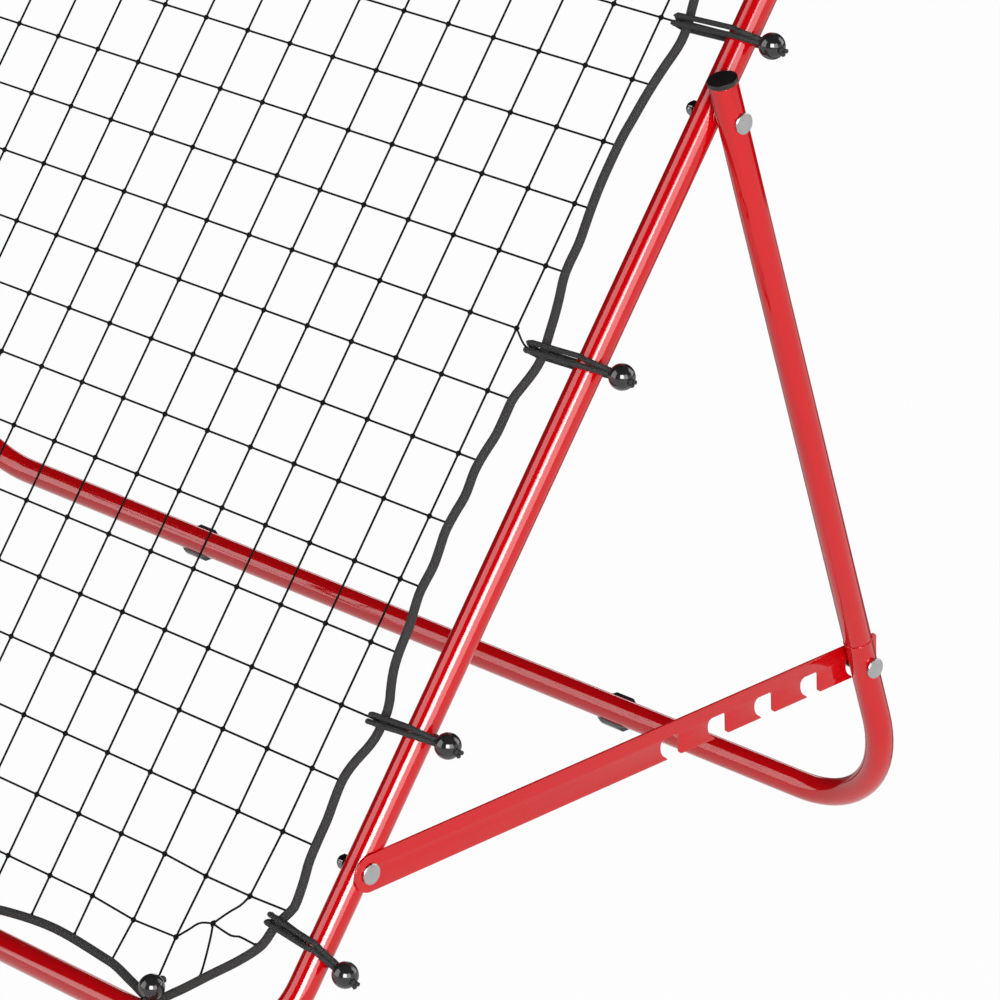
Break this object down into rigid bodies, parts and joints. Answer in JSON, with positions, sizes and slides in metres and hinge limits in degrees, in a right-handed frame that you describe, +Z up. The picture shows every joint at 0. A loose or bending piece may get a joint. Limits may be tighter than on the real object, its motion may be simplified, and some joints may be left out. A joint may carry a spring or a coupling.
{
  "type": "soccer rebound net",
  "caption": "Square tube frame with a knotted net tied in on elastic ball ties, leaning back on a folding rear stand held by notched stays.",
  "frame": {"origin": "on the floor, below the middle of the object's box", "axes": "+Z up, -Y the side that the net faces, +X along the crossbar to the right as seen from the front"},
  "size_m": [1.4028, 0.8032, 1.1137],
  "materials": {
    "red_paint": "gloss",
    "twine": "knotted twine",
    "rope": "braided rope",
    "elastic": "gloss ball on elastic cord",
    "black_plastic": "moulded",
    "zinc": "zinc plated",
    "dark_chrome": "dark, polished"
  },
  "bodies": {
    "front_frame": {"frame_half_right": "red_paint", "frame_half_left": "red_paint", "net": "twine", "edge_rope": "rope", "ball_tie_01": "elastic", "ball_tie_02": "elastic", "ball_tie_03": "elastic", "ball_tie_04": "elastic", "ball_tie_05": "elastic", "ball_tie_06": "elastic", "ball_tie_07": "elastic", "ball_tie_08": "elastic", "ball_tie_09": "elastic", "ball_tie_10": "elastic", "ball_tie_11": "elastic", "ball_tie_12": "elastic", "ball_tie_13": "elastic", "ball_tie_14": "elastic", "ball_tie_15": "elastic", "ball_tie_16": "elastic", "ball_tie_17": "elastic", "ball_tie_18": "elastic", "ball_tie_19": "elastic", "ball_tie_20": "elastic", "pivot_bolt_right": "zinc", "pivot_bolt_left": "zinc", "pivot_nut_right": "dark_chrome", "pivot_nut_left": "dark_chrome", "pivot_spacer_right": "red_paint", "pivot_spacer_left": "red_paint", "stay_bolt_right": "zinc", "stay_bolt_left": "zinc", "stay_nut_right": "dark_chrome", "stay_nut_left": "dark_chrome"},
    "rear_stand": {"rear_u_tube": "red_paint", "upper_leg_right": "red_paint", "upper_leg_left": "red_paint", "end_cap_right": "black_plastic", "end_cap_left": "black_plastic", "foot_right": "black_plastic", "foot_left": "black_plastic", "rear_bolt_right": "zinc", "rear_bolt_left": "zinc", "rear_nut_right": "dark_chrome", "rear_nut_left": "dark_chrome"},
    "right_stay": {"stay_right": "red_paint"},
    "left_stay": {"stay_left": "red_paint"}
  },
  "joints": [
    {"name": "stand_fold", "type": "hinge", "parent": "front_frame", "child": "rear_stand", "pos_m": [0, 0.12293, 0.72442], "axis": [1, 0, 0], "range_deg": [-47, 0]},
    {"name": "stay_swing_right", "type": "hinge", "parent": "front_frame", "child": "right_stay", "pos_m": [0.6608, -0.27396, 0.16808], "axis": [1, 0, 0], "range_deg": [0, 37.5]},
    {"name": "stay_swing_left", "type": "hinge", "parent": "front_frame", "child": "left_stay", "pos_m": [-0.6608, -0.27396, 0.16808], "axis": [1, 0, 0], "range_deg": [0, 37.5]}
  ],
  "couplings": [
    {"joint": "stay_swing_right", "follows": "stand_fold", "ratio": -0.79787},
    {"joint": "stay_swing_left", "follows": "stand_fold", "ratio": -0.79787}
  ]
}
